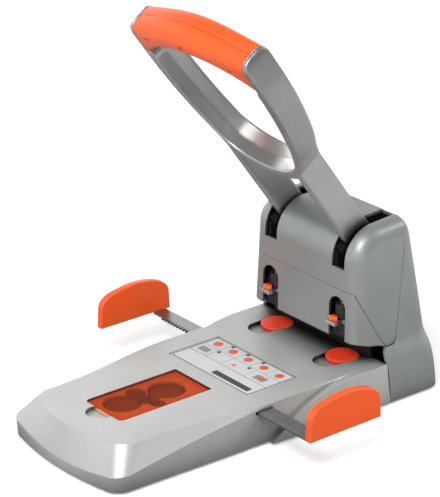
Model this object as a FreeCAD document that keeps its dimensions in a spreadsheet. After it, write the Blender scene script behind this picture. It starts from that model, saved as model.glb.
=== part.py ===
import FreeCAD, Part
import math
import os
import re
import Sketcher

# Heavy-duty two-hole paper punch.
# Frame: millimetres, +Z up, z = 0 on the table under the feet, x = 0 on the mid-plane
# between the two punches, -Y towards the user, y = 0 half way along the footprint.

V = FreeCAD.Vector
SIZES = {
    # stations of the whole machine
    "hole_pitch": 80, "throat_height": 17, "punch_y": 90, "rim_z": 2, "deck_top": 33,
    "front_tip": -162, "housing_rear": 105, "wall": 2.6, "deck_thick": 4,
    # head
    "face_y": 82.8, "head_bottom": 50, "head_top": 143, "shoulder_y": 110.8, "shoulder_z": 115,
    "shoulder_radius": 28, "head_half_low": 67.7, "head_half_high": 62, "head_corner": 15,
    "split_z": 92.5, "arm_slot_width": 14.5, "arm_slot_end": 110, "arch_width": 19,
    "arch_top": 85.5, "arch_centre": 40.5, "seam_gap": 0.3, "cover_top": 145, "cover_round": 13,
    # handle, measured from its pivot along the depth and the length of the lever
    "pivot_y": 112.3, "pivot_z": 121, "handle_lean": 36.7, "lever_front": -12.4,
    "lever_rear": 13.2, "leg_outer": 42.4, "leg_thick": 6.4, "loop_half": 69,
    "hub_radius": 12.4, "shaft_radius": 5, "toe_arm": 23, "toe_rise": 8, "toe_radius": 4.5,
    "drive_radius": 2.5, "grip_length": 128, "grip_mid": 236.2, "grip_end": 221.2,
    "grip_deep": 15, "grip_tall": 13, "grip_core": 5.5, "grip_screw_x": 49.5,
    # punches
    "punch_radius": 3, "punch_bore": 2.2, "rod_radius": 4, "punch_tip": 50.6,
    "carrier_low": 99, "carrier_high": 105, "ear_top": 128, "spring_radius": 5.5,
    "spring_wire": 0.9, "spring_y": 107.5, "bridge_low": 50.4, "bridge_high": 53.4,
    "tab_low": 63.2, "tab_high": 66.2, "tab_tip": 75.2, "toggle_y": 80.7, "toggle_top": 69.2,
    # side guides
    "guide_inner": 126.8, "guide_thick": 6.3, "guide_front": -25.5, "guide_rear": 46,
    "guide_low": 29, "guide_high": 61, "rack_length": 151, "rack_width": 15, "rack_low": 27.5,
    "rack_thick": 2, "gear_module": 1.25, "gear_teeth": 29, "pinion_y": 8.5,
    # deck furniture
    "disc_radius": 13.6, "disc_thick": 4, "notch_radius": 11.3, "lid_half": 22.6, "lid_front": -117,
    "lid_rear": -29.7, "lid_thick": 2, "lid_corner": 4, "label_half": 48.7, "label_front": -16.1,
    "label_rear": 34.7, "label_thick": 0.6, "tray_floor": 24, "stop_half": 58.6,
    # frame
    "plate_inner": 50, "plate_thick": 4, "base_plate_thick": 2, "fit_gap": 0.15,
}

doc = FreeCAD.newDocument("two_hole_punch")
sheet = doc.addObject("Spreadsheet::Sheet", "Sizes")
for row, (alias, value) in enumerate(SIZES.items(), start=1):
    sheet.set("A%d" % row, alias)
    sheet.set("B%d" % row, str(value))
    sheet.setAlias("B%d" % row, alias)
doc.recompute()
nodes = []


def size(alias):
    """A driving size read back from the sheet."""
    return float(getattr(sheet, alias))


def bound(text):
    """Write sheet names in an expression with the sheet's own prefix."""
    return re.sub(r"[a-z_]+[a-z0-9_]*", lambda m: "Sizes." + m[0] if m[0] in SIZES else m[0], str(text))


def number(text):
    """The present value of an expression written with sheet names."""
    return float(sheet.evalExpression(bound(text)))


def keep(obj, label):
    """Name a finished piece and list it as a node."""
    obj.Label = label
    nodes.append(obj)
    return obj


# ---------------------------------------------------------------- sketches and bodies
PLANES = {"XY": ("XY_Plane", 1), "XZ": ("XZ_Plane", -1), "YZ": ("YZ_Plane", 1)}


def sketch(body, plane, station):
    """A sketch on one of the body's origin planes, moved to a station along its normal."""
    role, sign = PLANES[plane]
    face = [f for f in body.Origin.OriginFeatures if f.Role == role][0]
    made = body.newObject("Sketcher::SketchObject", body.Name + "_sketch")
    made.AttachmentSupport = [(face, "")]
    made.MapMode = "FlatFace"
    made.setExpression(".AttachmentOffset.Base.z", "%d * (%s)" % (sign, bound(station)))
    return made


def pin_point(made, geo, point, pair):
    """Hold one point of a sketch at a pair of expressions."""
    for kind, axis, text in (("DistanceX", -2, pair[0]), ("DistanceY", -1, pair[1])):
        if str(text) == "0":
            made.addConstraint(Sketcher.Constraint("PointOnObject", geo, point, axis))
            continue
        index = made.addConstraint(Sketcher.Constraint(kind, -1, 1, geo, point, number(text)))
        made.setExpression("Constraints[%d]" % index, bound(text))


def polygon(made, pairs):
    """Closed outline through pairs of expressions."""
    points = [V(number(a), number(b), 0) for a, b in pairs]
    first = made.GeometryCount
    count = len(points)
    for i in range(count):
        made.addGeometry(Part.LineSegment(points[i], points[(i + 1) % count]))
    for i in range(count):
        made.addConstraint(Sketcher.Constraint("Coincident", first + i, 2, first + (i + 1) % count, 1))
        pin_point(made, first + i, 1, pairs[i])


def circle(made, pair, radius):
    """Circle at a pair of expressions."""
    centre = V(number(pair[0]), number(pair[1]), 0)
    geo = made.addGeometry(Part.Circle(centre, V(0, 0, 1), number(radius)))
    index = made.addConstraint(Sketcher.Constraint("Radius", geo, number(radius)))
    made.setExpression("Constraints[%d]" % index, bound(radius))
    pin_point(made, geo, 3, pair)


def rectangle(a0, a1, b0, b1):
    """Corner pairs of a rectangle."""
    return [(a0, b0), (a1, b0), (a1, b1), (a0, b1)]


def new_body(name):
    return doc.addObject("PartDesign::Body", name)


def pad(body, plane, start, end, outlines=(), circles=()):
    """Add material between two stations along the plane's axis."""
    made = sketch(body, plane, start if plane != "XZ" else end)
    for pairs in outlines:
        polygon(made, pairs)
    for pair, radius in circles:
        circle(made, pair, radius)
    step = body.newObject("PartDesign::Pad", body.Name + "_pad")
    step.Profile = made
    step.setExpression("Length", bound("(%s) - (%s)" % (end, start)))
    doc.recompute()
    return step


def pocket(body, plane, start, end, outlines=(), circles=()):
    """Take material away between two stations along the plane's axis."""
    before = body.Shape.Volume
    made = sketch(body, plane, end if plane != "XZ" else start)
    for pairs in outlines:
        polygon(made, pairs)
    for pair, radius in circles:
        circle(made, pair, radius)
    step = body.newObject("PartDesign::Pocket", body.Name + "_pocket")
    step.Profile = made
    step.setExpression("Length", bound("(%s) - (%s)" % (end, start)))
    doc.recompute()
    if body.Shape.Volume >= before - 1e-6:
        raise RuntimeError("pocket cuts nothing on " + body.Name)
    return step


def round_edges(body, radius, wanted):
    """Fillet the edges of a body for which wanted(edge) is true."""
    tip = body.Tip
    names = ["Edge%d" % (i + 1) for i, edge in enumerate(tip.Shape.Edges) if wanted(edge)]
    step = body.newObject("PartDesign::Fillet", body.Name + "_fillet")
    step.Base = (tip, names)
    step.Radius = radius
    doc.recompute()
    return step


def along(axis):
    """Picks straight edges that run along one axis."""
    unit = {"x": V(1, 0, 0), "y": V(0, 1, 0), "z": V(0, 0, 1)}[axis]

    def wanted(edge):
        if edge.Curve.TypeId != "Part::GeomLine":
            return False
        return abs(edge.tangentAt(edge.FirstParameter).dot(unit)) > 0.999
    return wanted


# ---------------------------------------------------------------- primitives and booleans
TURNS = {"x": FreeCAD.Rotation(V(0, 1, 0), 90), "y": FreeCAD.Rotation(V(1, 0, 0), -90),
         "z": FreeCAD.Rotation()}


def place(obj, where):
    for letter, text in zip("xyz", where):
        obj.setExpression(".Placement.Base." + letter, bound(text))


def cylinder(name, radius, length, where, axis="z"):
    """Cylinder that starts at a point and runs along an axis."""
    obj = doc.addObject("Part::Cylinder", name)
    obj.setExpression("Radius", bound(radius))
    obj.setExpression("Height", bound(length))
    obj.Placement = FreeCAD.Placement(V(), TURNS[axis])
    place(obj, where)
    return obj


def box(name, x0, x1, y0, y1, z0, z1):
    """Box between six stations."""
    obj = doc.addObject("Part::Box", name)
    for prop, low, high in (("Length", x0, x1), ("Width", y0, y1), ("Height", z0, z1)):
        obj.setExpression(prop, bound("(%s) - (%s)" % (high, low)))
    place(obj, (x0, y0, z0))
    return obj


def fuse(name, parts):
    obj = doc.addObject("Part::MultiFuse", name)
    obj.Shapes = parts
    obj.Refine = True
    return obj


def cut(name, base, tools):
    """Base minus one or more tools."""
    obj = doc.addObject("Part::Cut", name)
    obj.Base = base
    obj.Tool = tools[0] if len(tools) == 1 else fuse(name + "_tools", tools)
    return obj


def group(name, parts):
    """Several equal solids kept as one node."""
    obj = doc.addObject("Part::Compound", name)
    obj.Links = parts
    return obj


def feature(name, shape):
    """A piece whose shape comes from Part's own functions."""
    obj = doc.addObject("Part::Feature", name)
    obj.Shape = shape
    return obj


# ---------------------------------------------------------------- outlines used by the shells
def spline(points):
    curve = Part.BSplineCurve()
    curve.interpolate([V(*p) for p in points])
    return curve.toShape()


def arc(first, middle, last):
    return Part.Arc(V(*first), V(*middle), V(*last)).toShape()


def flip(point):
    return (-point[0],) + tuple(point[1:])


def symmetric_outline(side, corner, front):
    """Closed wire: rear line, right side, front corner, front edge and their mirror images.

    side runs rear to front, corner is the middle of the corner arc, and front starts
    where the corner ends and stops on the mid-plane."""
    edges = [spline(side), arc(side[-1], corner, front[0])]
    edges.append(arc(front[0], front[-1], flip(front[0])))
    edges.append(arc(flip(front[0]), flip(corner), flip(side[-1])))
    edges.append(spline([flip(p) for p in reversed(side)]))
    edges.append(Part.makeLine(V(*flip(side[0])), V(*side[0])))
    return Part.Wire(edges)


def rounded_outline(corners, z):
    """Closed wire at one height through (x, y, radius) corners, each rounded by its radius."""
    arcs = []
    count = len(corners)
    for i, (x, y, radius) in enumerate(corners):
        here = V(x, y, z)
        before, after = corners[i - 1], corners[(i + 1) % count]
        arrive = (here - V(before[0], before[1], z)).normalize()
        leave = (V(after[0], after[1], z) - here).normalize()
        half_turn = arrive.getAngle(leave) / 2
        reach = radius * math.tan(half_turn)
        inward = (leave - arrive).normalize()
        middle = here + inward * (radius / math.cos(half_turn) - radius)
        arcs.append((here - arrive * reach, middle, here + leave * reach))
    edges = []
    for i, (first, middle, last) in enumerate(arcs):
        edges += [Part.Arc(first, middle, last).toShape(), Part.makeLine(last, arcs[(i + 1) % count][0])]
    return Part.Wire(edges)


def rounded_section(half, front, rear, z, front_radius, rear_radius):
    """Rectangle with rounded vertical corners, at one height."""
    return rounded_outline([(half, front, front_radius), (half, rear, rear_radius),
                            (-half, rear, rear_radius), (-half, front, front_radius)], z)


def slab(points, half):
    """Side profile (y, z) drawn across the whole width; a point may be followed by an arc middle."""
    edges = []
    for here, there in zip(points, points[1:] + points[:1]):
        start, end = V(-half, here[0], here[1]), V(-half, there[0], there[1])
        if len(here) == 4:
            edges.append(Part.Arc(start, V(-half, here[2], here[3]), end).toShape())
        else:
            edges.append(Part.makeLine(start, end))
    return Part.Face(Part.Wire(edges)).extrude(V(2 * half, 0, 0))


# ---------------------------------------------------------------- base
DECK = size("deck_top")
RIM = size("rim_z")
TIP = size("front_tip")
REAR = size("housing_rear")


def base_outer():
    """Body of the base: a lighter upper facet and a steeper lower band that meet in a crease."""
    top = symmetric_outline(
        [(70, REAR, DECK), (70, 40, DECK), (69.6, -20, DECK), (61.3, -73, DECK), (56.5, -125, DECK)],
        (53.5, -137, DECK), [(45, -142.2, DECK), (0, TIP + 11, DECK)])
    crease = symmetric_outline(
        [(70.5, REAR, 32.2), (70.5, 40, 32), (70.4, -20, 31), (70.1, -77, 25.9), (68.9, -142, 15.8)],
        (64.5, -152.6, 14.9), [(54, -156, 13.4), (0, TIP + 1.4, 9)])
    bottom = symmetric_outline(
        [(72.5, REAR, RIM), (72.4, 40, RIM), (71.6, -20, RIM), (69.7, -78, RIM), (67.5, -143, RIM)],
        (63, -152.4, RIM), [(53, -156.4, RIM), (0, TIP, RIM)])
    return Part.makeLoft([bottom, crease, top], True, True)


def base_fender():
    """Bulge along each rear side of the base, under a curve that rises to the deck."""
    def ring(half_front, half_rear, z):
        pts = [(half_front, -20, z), ((half_front + half_rear) / 2 + 1, 45, z), (half_rear, REAR, z)]
        edges = [spline(pts), Part.makeLine(V(*pts[-1]), V(*flip(pts[-1])))]
        edges += [spline([flip(p) for p in reversed(pts)]), Part.makeLine(V(*flip(pts[0])), V(*pts[0]))]
        return Part.Wire(edges)
    wide = Part.makeLoft([ring(76.6, 81.8, RIM), ring(72.5, 76.4, DECK)], True, True)
    under_curve = slab([(-13, RIM, 26, 24), (78, DECK), (REAR, DECK), (REAR, RIM)], 100)
    return wide.common(under_curve)


def base_cavity():
    """Hollow under the deck."""
    inset = size("wall") + 0.6
    roof = DECK - size("deck_thick")
    low = symmetric_outline(
        [(72 - inset, REAR + 1, RIM - 1), (72 - inset, 40, RIM - 1), (71.2 - inset, -20, RIM - 1),
         (69.4 - inset, -78, RIM - 1), (67 - inset, -139, RIM - 1)],
        (61 - inset, -150.5 + inset, RIM - 1), [(50, -155 + inset, RIM - 1), (0, TIP + inset, RIM - 1)])
    high = symmetric_outline(
        [(70 - inset, REAR + 1, roof), (70 - inset, 40, roof), (69.6 - inset, -20, roof),
         (62 - inset, -73, roof), (57 - inset, -121, roof)],
        (54 - inset, -135 + inset, roof), [(43, -142 + inset, roof), (0, TIP + 12 + inset, roof)])
    return Part.makeLoft([low, high], True, True)


def lid_prism(clear, low, high):
    """The lid's plan with some clearance around it, between two heights."""
    corner = size("lid_corner") + clear
    plan = rounded_section(size("lid_half") + clear, size("lid_front") - clear, size("lid_rear") + clear,
                           low, corner, 0.6 + clear)
    return Part.Face(plan).extrude(V(0, 0, high - low))


def make_base():
    shell = base_outer().fuse(base_fender()).removeSplitter().cut(base_cavity())
    rough = feature("base_shell", shell)
    pitch = "hole_pitch / 2"
    bosses = []
    for side in ("", "-"):
        bosses.append(cylinder("disc_boss", "disc_radius + 1.3", "deck_thick + 4",
                               (side + pitch, "punch_y", "deck_top - 8")))
        bosses.append(cylinder("screw_boss", 4.5, "deck_top - 6", (side + "40", -128, 4)))
        bosses.append(cylinder("screw_boss", 4.5, "deck_top - 6", (side + "59", 62, 4)))
    tools = [
        box("rack_channel_right", -64, 90, "pinion_y - 33.6", "pinion_y - 16.6", 27.2, 29.9),
        box("rack_channel_left", -90, 64, "pinion_y + 16.6", "pinion_y + 34.6", 27.2, 29.9),
        cylinder("pinion_well", 20, 3, ("0", "pinion_y", 26.9)),
        feature("lid_opening", lid_prism(0.3, 20, DECK + 1)),
        cylinder("thumb_scoop", 11, 5, ("0", "lid_front - 2.7", "deck_top - 2.9")),
        box("label_recess", "-label_half - fit_gap", "label_half + fit_gap", "label_front - fit_gap",
            "label_rear + fit_gap", "deck_top - label_thick - 0.3", "deck_top + 1"),
    ]
    for side in ("", "-"):
        tools.append(cylinder("disc_recess", "disc_radius + fit_gap", 10,
                              (side + pitch, "punch_y", "deck_top - disc_thick - 0.1")))
        notch_y = "punch_y - 28 + notch_radius"
        tools.append(cylinder("notch_end", "notch_radius", 10, (side + pitch, notch_y, "deck_top - 3")))
        x0, x1 = side + pitch + " - notch_radius", side + pitch + " + notch_radius"
        tools.append(box("notch_run", x0, x1, notch_y, "punch_y", "deck_top - 3", "deck_top + 7"))
        tools.append(cylinder("screw_bore", 1.4, 10, (side + "40", -128, 3)))
        tools.append(cylinder("screw_bore", 1.4, 10, (side + "59", 62, 3)))
    body = fuse("base_with_bosses", [rough] + bosses)
    keep(cut("base_cut", body, tools), "base_housing")


def make_base_floor():
    plate = new_body("base_plate")
    half_outline = [(0, -153), (46, -149), (60, -141), (65, -70), (66.5, -20), (66.5, 104.5),
                    (77, 107), (77, 148), (66, 158)]
    outline = half_outline + [(-x, y) for x, y in reversed(half_outline[1:])]
    pad(plate, "XY", "rim_z", "rim_z + base_plate_thick", [outline])
    holes = [((x, y), 1.8) for x in (-40, 40) for y in (-128,)] + [((x, 62), 1.8) for x in (-59, 59)]
    holes += [((x, y), 2.7) for x in (-60, 60) for y in (116, 130)]
    pocket(plate, "XY", "rim_z", "rim_z + base_plate_thick", circles=holes)
    keep(plate, "base_plate")
    feet = []
    for x, y in ((-52, -105), (52, -105), (-60, 20), (60, 20), (-62, 148), (62, 148)):
        foot = cylinder("foot", 8, "rim_z", (x, y, 0))
        feet.append(foot)
    keep(group("feet", feet), "rubber_feet")
    screws = []
    for x, y in ((-40, -128), (40, -128), (-59, 62), (59, 62)):
        head = cylinder("screw_head", 3, 1.2, (x, y, "rim_z - 1.2"))
        shank = cylinder("screw_shank", 1.35, 8, (x, y, "rim_z - 0.2"))
        screws.append(fuse("base_screw", [head, shank]))
    keep(group("base_screw_set", screws), "base_screws")


SPARE_PLACES = ((-4.5, -95.5), (-1.8, -55))


def front_corner(edge):
    """Picks the two upright front corners of the lid and of the tray below it."""
    return along("z")(edge) and edge.CenterOfMass.y < number("lid_front + 1")


def make_deck_furniture():
    label = new_body("label_plate")
    pad(label, "XY", "deck_top - label_thick - 0.3", "deck_top - 0.3",
        [rectangle("-label_half", "label_half", "label_front", "label_rear")])
    round_edges(label, 4, along("z"))
    keep(label, "label_plate")

    tray = new_body("storage_tray")
    wall = rectangle("-lid_half", "lid_half", "lid_front", "lid_rear")
    low, high = "rim_z + base_plate_thick", "deck_top - lid_thick - 0.1"
    pad(tray, "XY", low, high, [wall])
    round_edges(tray, size("lid_corner"), front_corner)
    pockets = [(centre, 15.2, "tray_floor") for centre in SPARE_PLACES]
    pockets += [((1.5, -75.5), 9.2, "tray_floor"), ((-11.5, -77), 5, "tray_floor + 1.5"),
                ((-13.3, -76), 8.2, "tray_floor + 3.5"), ((12.3, -74), 6.5, "tray_floor + 4")]
    for centre, radius, floor in pockets:
        pocket(tray, "XY", floor, high, circles=[(centre, radius)])
    inner = rectangle("-lid_half + 3", "lid_half - 3", "lid_front + 3", "lid_rear - 3")
    pocket(tray, "XY", low, "tray_floor - 2", [inner])
    keep(tray, "storage_tray")

    lid = new_body("storage_lid")
    pad(lid, "XY", "deck_top - lid_thick", "deck_top - 0.2", [wall])
    round_edges(lid, size("lid_corner"), front_corner)
    pocket(lid, "XY", "deck_top - lid_thick", "deck_top - 0.2",
           [rectangle(-9, 9, "lid_front - 1", "lid_front + 1.6")])
    groove = [rectangle("-lid_half + " + inset, "lid_half - " + inset, "lid_front + 1.8 + " + inset,
                        "lid_rear - " + inset) for inset in ("1.2", "1.9")]
    pocket(lid, "XY", "deck_top - 0.7", "deck_top - 0.2", groove)
    keep(lid, "storage_lid")

    spares = []
    for x, y in SPARE_PLACES:
        spares.append(cylinder("spare", "disc_radius", 3.4, (x, y, "tray_floor + 0.1")))
    keep(group("spares", spares), "spare_cutting_discs")

    for side, name in (("-", "cutting_disc_left"), ("", "cutting_disc_right")):
        disc = new_body(name)
        centre = (side + "hole_pitch / 2", "punch_y")
        pad(disc, "XY", "deck_top - disc_thick", "deck_top + 0.1", circles=[(centre, "disc_radius")])
        round_edges(disc, 0.8, lambda e: e.CenterOfMass.z > number("deck_top"))
        keep(disc, name)


# ---------------------------------------------------------------- side guides
def gear_outline(teeth, module, thin):
    """Involute outline of a 20 degree gear, with each tooth thinned on both flanks."""
    pitch = teeth * module / 2
    base = pitch * math.cos(math.radians(20))
    root, tip = pitch - 1.25 * module, pitch + 0.95 * module
    involute = math.tan(math.radians(20)) - math.radians(20)
    half_tooth = math.pi / (2 * teeth) + involute - thin / pitch
    radii = [max(base, root) + (tip - max(base, root)) * i / 4 for i in range(5)]

    def flank(sign, centre):
        points = []
        for r in radii:
            roll = math.acos(base / r)
            angle = centre + sign * (half_tooth - (math.tan(roll) - roll))
            points.append(V(r * math.cos(angle), r * math.sin(angle), 0))
        return points
    edges = []
    previous = None
    for tooth in range(teeth):
        centre = math.pi / 2 + 2 * math.pi * tooth / teeth
        rising, falling = flank(-1, centre), flank(1, centre)[::-1]
        foot_in = V(rising[0].x, rising[0].y, 0).normalize() * root
        foot_out = V(falling[-1].x, falling[-1].y, 0).normalize() * root
        if previous is not None:
            edges.append(Part.makeLine(previous, foot_in))
        else:
            opening = foot_in
        run = [foot_in] + rising + falling + [foot_out]
        edges += [Part.makeLine(a, b) for a, b in zip(run, run[1:])]
        previous = foot_out
    edges.append(Part.makeLine(previous, opening))
    return Part.Wire(edges)


def rack_outline(inner, outer, back, pitch_line, sign, phase):
    """Rack with straight 20 degree teeth; sign is the side on which the teeth stand."""
    module = size("gear_module")
    pitch = math.pi * module
    slope = math.tan(math.radians(20))
    tip, root = pitch_line + sign * 0.95 * module, pitch_line - sign * 1.25 * module
    half_tip, half_root = pitch / 4 - 0.95 * module * slope - 0.12, pitch / 4 + 1.25 * module * slope - 0.12
    points = [V(outer, root, 0), V(outer, back, 0), V(inner, back, 0), V(inner, root, 0)]
    step = 1 if outer > inner else -1
    count = int((abs(outer - inner) - 3.5 * pitch) / pitch)
    start = step * math.ceil((step * inner + 0.6 * pitch) / pitch)
    for tooth in range(count):
        centre = (start + step * (tooth + phase)) * pitch
        for offset, y in ((-half_root, root), (-half_tip, tip), (half_tip, tip), (half_root, root)):
            points.append(V(centre + step * offset, y, 0))
    return Part.makePolygon(points + points[:1])


def make_guides():
    module, teeth = size("gear_module"), int(size("gear_teeth"))
    pitch_radius = module * teeth / 2
    low, thick = size("rack_low"), size("rack_thick")
    pinion_y = size("pinion_y")
    reach = size("guide_inner")
    for name, side in (("left", -1), ("right", 1)):
        line = pinion_y - side * pitch_radius
        back = line - side * (size("rack_width") - 1.2)
        phase = 0 if side > 0 else 0.5
        outline = rack_outline(side * (reach - size("rack_length")), side * reach, back, line, side, phase)
        bar = Part.Face(outline).extrude(V(0, 0, thick))
        rack = feature("rack_bar_" + name, bar)
        rack.Placement.Base = V(0, 0, low)
        keep(rack, "guide_rack_" + name)

    pinion = Part.Face(gear_outline(teeth, module, 0.12)).extrude(V(0, 0, thick))
    pinion = pinion.cut(Part.makeCylinder(3.1, thick))
    for spoke in range(4):
        angle = math.radians(45 + 90 * spoke)
        pinion = pinion.cut(Part.makeCylinder(4, thick, V(9.5 * math.cos(angle), 9.5 * math.sin(angle), 0)))
    wheel = feature("pinion_wheel", pinion)
    wheel.Placement.Base = V(0, pinion_y, low)
    keep(wheel, "guide_pinion")

    post = cylinder("axle_post", 3, "rack_thick + 0.3", ("0", "pinion_y", "rack_low"))
    seat = cylinder("axle_stem", 2.5, 4, ("0", "pinion_y", "rack_low - 4"))
    head = cylinder("axle_head", 4.5, 1.6, ("0", "pinion_y", "rack_low - 5.4"))
    keep(fuse("axle", [post, seat, head]), "pinion_axle")

    retainer = new_body("rack_retainer")
    pad(retainer, "XY", "rack_low - 3.7", "rack_low - 0.3", [rectangle(-65, 65, -26, 44)])
    pocket(retainer, "XY", "rack_low - 3.7", "rack_low - 0.3",
           circles=[(("0", "pinion_y"), 2.55)] + [((x, 8.5), 2) for x in (-30, 30)])
    keep(retainer, "rack_retainer")

    front, rear = size("guide_front"), size("guide_rear")
    foot, crown = size("guide_low"), size("guide_high")
    wall = size("guide_thick")
    arch = [(0, front + 0.9, crown - 14.6), (0, front + 3.4, crown - 9.2), (0, front + 8.5, crown - 5.6),
            (0, front + 20, crown - 2.7), (0, front + 34.5, crown - 1), (0, rear - 26, crown - 1.6),
            (0, rear - 16, crown - 3.6), (0, rear - 8, crown - 6.8), (0, rear - 3.4, crown - 10.6),
            (0, rear - 1, crown - 15.6)]
    outline = Part.Wire([spline(arch), Part.makeLine(V(*arch[-1]), V(0, rear, foot)),
                         Part.makeLine(V(0, rear, foot), V(0, front, foot)),
                         Part.makeLine(V(0, front, foot), V(*arch[0]))])
    for name, start in (("left", -reach - wall), ("right", reach)):
        plate = Part.Face(outline).extrude(V(wall, 0, 0))
        rims = [e for e in plate.Edges if not along("x")(e) and e.CenterOfMass.z > foot + 1]
        guide = feature("guide_" + name, plate.makeFillet(1.1, rims))
        guide.Placement.Base = V(start, 0, 0)
        keep(guide, "guide_plate_" + name)


# ---------------------------------------------------------------- head shells
def head_half(z):
    """Half width of the head at a height; the sides have draft."""
    low, high = size("head_bottom"), size("head_top")
    share = (z - low) / (high - low)
    return size("head_half_low") + (size("head_half_high") - size("head_half_low")) * share


def head_block(inset):
    """Outside (inset 0) or inside of the head: drafted sides, arched front shoulder."""
    face, top = size("face_y") + inset, size("head_top") - inset
    low, high = size("head_bottom") - 10, size("head_top") + 8
    corner = size("head_corner") - inset
    rings = [rounded_section(head_half(z) - inset, face, 160, z, corner, 1) for z in (low, high)]
    tower = Part.makeLoft(rings, True, True)
    cy, cz, radius = size("shoulder_y"), size("shoulder_z"), size("shoulder_radius") - inset
    bend = radius * math.sqrt(0.5)
    profile = slab([(face, low + 1), (face, cz, cy - bend, cz + bend), (cy, top), (159, top + 3.6),
                    (159, low + 1)], 90)
    block = tower.common(profile)
    rims = []
    for edge in block.Edges:
        centre = edge.CenterOfMass
        side_on = abs(centre.x) > 45 and centre.z > cz + 6 and 100 < centre.y < 158
        if side_on and edge.Length > 6:
            rims.append(edge)
    return block.makeFillet(max(13 - inset, 3), rims)


SIDE_CURVE = [(size("face_y") + 2, size("split_z")), (88.6, 82.5), (93.8, 71.4), (101.8, 57.2),
              (111, 44.4)]
HEAD_HEEL = size("head_bottom") - 5.6


def split_region(gap):
    """Side-view region of the lower front shell; gap shrinks it for the seam."""
    half, front, foot = 90, 60, 30
    curve = [(-half, y - gap, z - gap) for y, z in SIDE_CURVE]
    corners = [curve[-1], (-half, curve[-1][1], foot), (-half, front, foot), (-half, front, curve[0][2]),
               curve[0]]
    edges = [spline(curve)] + [Part.makeLine(V(*a), V(*b)) for a, b in zip(corners, corners[1:])]
    return Part.Face(Part.Wire(edges)).extrude(V(2 * half, 0, 0))


def seam_point(z):
    """Side-view point on the slanted seam between the head shells and the rear cover."""
    return (121.6 + (z - size("head_bottom")) * 0.142, z)


def heel(gap):
    """Rounded lower rear corner of the head in side view, moved outwards by a gap."""
    radius = 6.5
    start, low = 115.3, HEAD_HEEL - gap
    bend = radius * math.sqrt(0.5)
    end_y, end_z = seam_point(HEAD_HEEL + radius)
    return [(start, low, start + bend + 0.8 * gap, low + radius - bend + 0.2 * gap), (end_y + gap, end_z)]


def make_head():
    outer, inner = head_block(0), head_block(size("wall"))
    shell = outer.cut(inner)
    low = size("head_bottom")
    footprint = slab([(60, low), (87.5, low), (103, low - 2.8), (109.5, HEAD_HEEL)] + heel(0)
                     + [seam_point(154), (60, 154)], 90)
    shell = shell.common(footprint)
    for x in (-1, 1):
        half, middle = size("arm_slot_width") / 2, x * size("hole_pitch") / 2 + x * 0.5
        slot = slab([(60, size("arm_slot_end")), (138, size("arm_slot_end")), (138, 160), (60, 160)], half)
        slot.translate(V(middle, 0, 0))
        shell = shell.cut(slot)
        arch = Part.makeCylinder(size("arch_width") / 2, 20,
                                 V(x * size("arch_centre"), 70, size("arch_top") - size("arch_width") / 2),
                                 V(0, 1, 0))
        opening = Part.makeBox(size("arch_width"), 20, size("arch_top") - size("arch_width") / 2 - 30,
                               V(x * size("arch_centre") - size("arch_width") / 2, 70, 30))
        shell = shell.cut(arch.fuse(opening))
    lower = shell.common(split_region(size("seam_gap")))
    upper = shell.cut(split_region(0))
    boss_plans = {"upper": ((97, 108), (124, 98), (119, 66)), "lower": ((92, 60),)}
    for label, piece in (("upper", upper), ("lower", lower)):
        for y, z in boss_plans[label]:
            for side in (-1, 1):
                reach = 9.5 if z > 90 else 10.5
                boss = Part.makeCylinder(3.6, reach, V(side * 54.2, y, z), V(side, 0, 0)).common(outer)
                piece = piece.fuse(boss)
                piece = piece.cut(Part.makeCylinder(1.35, 7, V(side * 54, y, z), V(side, 0, 0)))
        keep(feature(label + "_shell", piece), "head_%s_cover" % label)
    return boss_plans


def cover_ring(z, inset, pull=0):
    """One level of the rear cover: flush with the head at the seam, flared below it."""
    below = max(0, 49 - z)
    seam_half = head_half(z) + 11.75 * below ** 2 / (below ** 2 + 150)
    rear = 157.2 - 0.162 * (z - 60) - 0.00135 * max(0, 60 - z) ** 2
    seam = seam_point(z)[0] if z > size("head_bottom") else size("housing_rear")
    front, widening = 98 - 4 * inset, 1.2
    front_half = seam_half - widening * (seam - front) / (rear - seam) - inset - pull
    rear_half = seam_half + widening - inset - pull
    corner = 15 - inset - pull
    rear -= inset + pull
    return rounded_outline([(front_half, front, 0.4), (rear_half, rear, corner),
                            (-rear_half, rear, corner), (-front_half, front, 0.4)], z)


def rear_block(inset):
    """Outside (inset 0) or inside of the rear cover: a flared tower with a rounded top edge."""
    radius = size("cover_round") - inset
    base = size("cover_top") - size("cover_round")
    levels = (size("rim_z"), 10, 18, 24, 29, 32, 35, 37.5, 40, 42, 44, 46, 47.5, 49, 56, 64, 80, 100, 118)
    rings = [cover_ring(z, inset) for z in levels]
    for degrees in range(0, 91, 10):
        angle = math.radians(degrees)
        rings.append(cover_ring(base + radius * math.sin(angle), inset, radius * (1 - math.cos(angle))))
    return Part.makeLoft(rings, True, True)


def make_rear_cover():
    shell = rear_block(0).cut(rear_block(size("wall")))
    gap, foot = size("seam_gap"), size("rim_z")
    behind = size("housing_rear") + gap
    top_y, top_z = seam_point(154)
    seam = slab([(behind, foot), (behind, 36), (106.3, 41), (109.4, HEAD_HEEL - gap)] + heel(gap)
                + [(top_y + gap, top_z), (170, top_z), (170, foot)], 100)
    keep(feature("rear_shell", shell.common(seam)), "rear_cover")


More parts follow.
